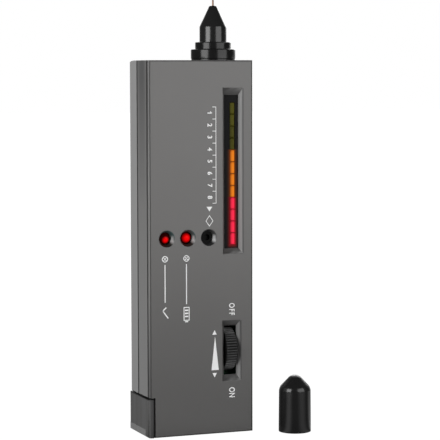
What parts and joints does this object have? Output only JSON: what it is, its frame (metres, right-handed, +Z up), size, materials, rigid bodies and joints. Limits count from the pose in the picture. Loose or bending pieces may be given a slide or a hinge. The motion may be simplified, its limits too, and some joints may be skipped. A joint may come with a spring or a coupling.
{
  "type": "diamond tester",
  "caption": "Hand-held diamond tester standing on end: grey two-shell case, LED bar, lamps, thumbwheel, sliding battery door, sprung copper probe and a loose probe cap.",
  "frame": {"origin": "centre of the case's base, on the surface that it stands on", "axes": "+Z up along the case towards the probe, front face towards -Y, +X to the right seen from the front"},
  "size_m": [0.0705, 0.0391, 0.1832],
  "materials": {
    "case_grey": "fine sparkled grey moulding",
    "door_grey": "darker grey moulding",
    "screw_steel": "plated steel",
    "board_green": "solder mask",
    "chip_black": "moulded epoxy",
    "capacitor_sleeve": "shrunk sleeve",
    "trimmer_blue": "moulded",
    "holder_black": "satin black",
    "led_unlit": "tinted diffused lens, unlit",
    "led_orange": "tinted diffused lens, lit",
    "led_red": "tinted diffused lens, lit",
    "lamp_red": "tinted diffused lens, lit",
    "buzzer_black": "moulded can",
    "wheel_black": "ribbed, semi-gloss",
    "battery_jacket": "lacquered jacket, plain",
    "terminal_steel": "nickel plated",
    "snap_black": "soft vinyl",
    "lead_sleeve": "insulated wire",
    "touch_steel": "brushed",
    "contact_brass": "bright",
    "probe_black": "glossy turned plastic",
    "nut_steel": "plated",
    "guide_white": "insulating bush",
    "tip_copper": "bright copper",
    "bead_glass": "sealed bead",
    "fine_wire": "enamelled wire",
    "cap_black": "glossy moulding"
  },
  "bodies": {
    "case": {"front_shell": "case_grey", "rear_shell": "case_grey", "case_screws": "screw_steel", "circuit_board": "board_green", "board_screws": "screw_steel", "chips": "chip_black", "capacitors": "capacitor_sleeve", "trimmers": "trimmer_blue", "bar_holder": "holder_black", "green_bar_leds": "led_unlit", "orange_bar_leds": "led_orange", "red_bar_leds": "led_red", "ready_lamp": "lamp_red", "battery_lamp": "lamp_red", "buzzer": "buzzer_black", "potentiometer": "chip_black", "battery": "battery_jacket", "battery_terminals": "terminal_steel", "battery_snap": "snap_black", "battery_leads": "lead_sleeve", "touch_plate": "touch_steel", "contact_pin": "contact_brass", "probe_collar": "probe_black", "probe_nut": "nut_steel", "probe_nose": "probe_black", "tip_guide": "guide_white", "probe_plug": "guide_white", "tip_spring": "screw_steel", "probe_leads": "fine_wire"},
    "wheel": {"volume_wheel": "wheel_black", "pot_shaft": "screw_steel", "wheel_screw": "screw_steel"},
    "tip": {"probe_tip": "tip_copper", "sensor_bead": "bead_glass"},
    "door": {"battery_door": "door_grey"},
    "cap": {"probe_cap": "cap_black"}
  },
  "joints": [
    {"name": "volume_wheel_turn", "type": "hinge", "parent": "case", "child": "wheel", "pos_m": [0.0134, -0.00475, 0.0351], "axis": [1, 0, 0], "range_deg": [-110, 160]},
    {"name": "probe_tip_press", "type": "slide", "parent": "case", "child": "tip", "axis": [0, 0, -1], "range_m": [0, 0.001], "stiffness_N_per_m": 800, "deforming": ["tip_spring"]},
    {"name": "battery_door_slide", "type": "slide", "parent": "case", "child": "door", "axis": [-1, 0, 0], "range_m": [0, 0.032]},
    {"name": "cap_lift", "type": "slide", "parent": "case", "child": "cap", "axis": [0, 0, 1], "range_m": [0, 0.05]}
  ]
}
